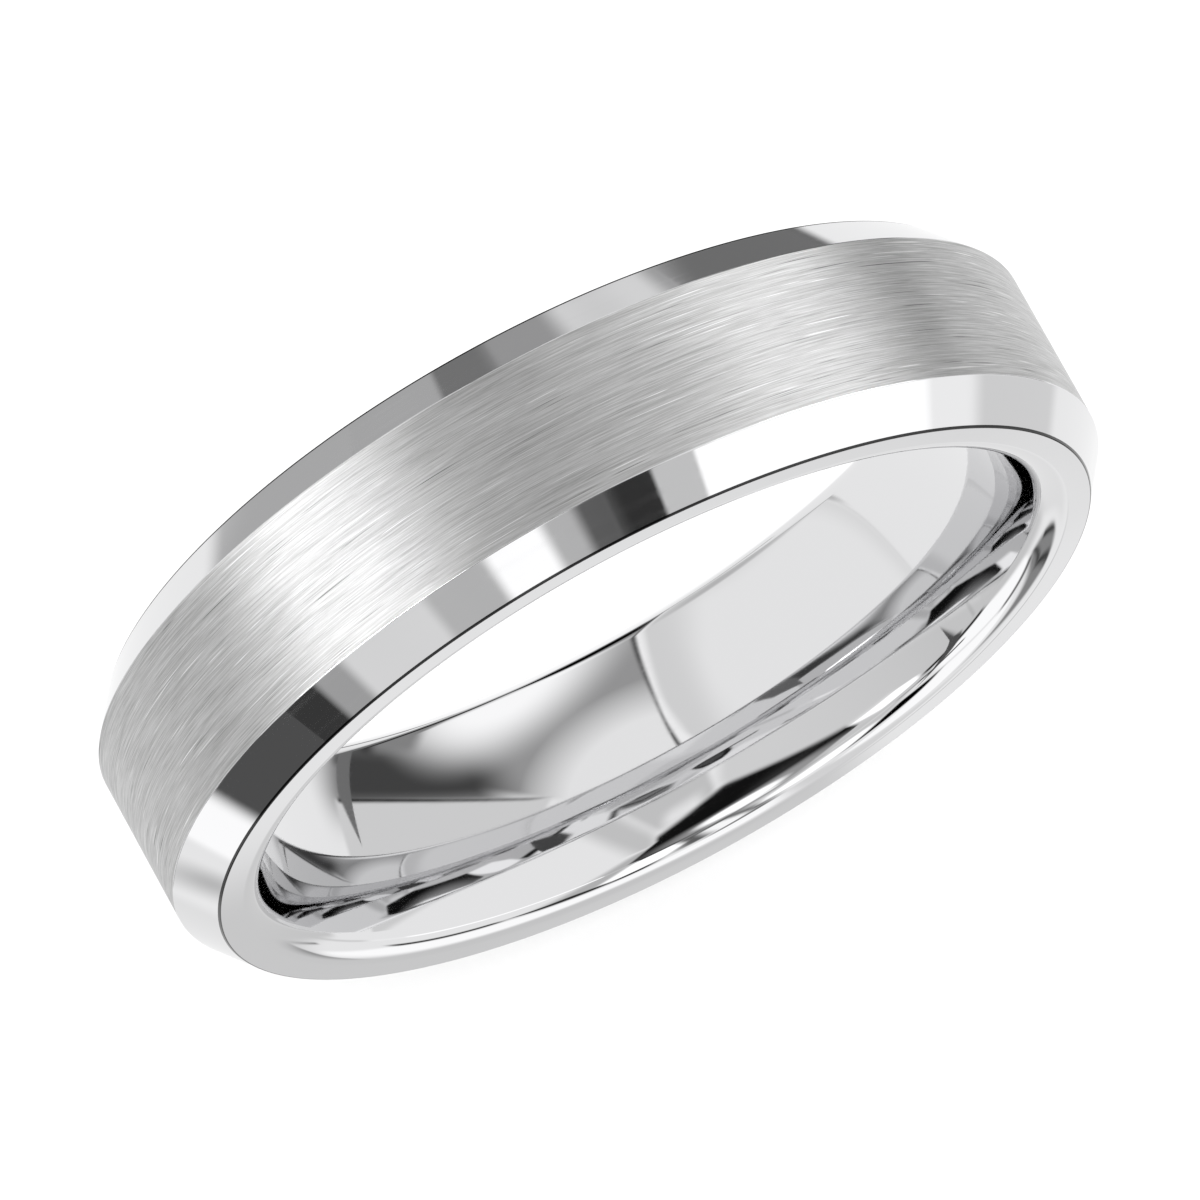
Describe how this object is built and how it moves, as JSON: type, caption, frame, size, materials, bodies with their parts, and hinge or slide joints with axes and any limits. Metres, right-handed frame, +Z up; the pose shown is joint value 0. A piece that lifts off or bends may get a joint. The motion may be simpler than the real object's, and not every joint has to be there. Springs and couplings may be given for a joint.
{
  "type": "wedding band",
  "caption": "Plain metal finger ring with a flat brushed centre, a polished bevel down each side, narrow flat side faces, rounded inner corners and a domed, polished bore.",
  "frame": {"origin": "centre of the ring, halfway between its two side faces", "axes": "the ring stands on its rim: +Y along the ring's axis, +Z up, X across; the two side faces point along -Y and +Y"},
  "size_m": [0.025, 0.006, 0.025],
  "materials": {
    "band_metal": "white metal: the flat outer centre is satin-brushed along the circumference; the bevels, side faces, rounded edges and bore are mirror-polished"
  },
  "bodies": {
    "root": {"band": "band_metal"}
  },
  "joints": []
}
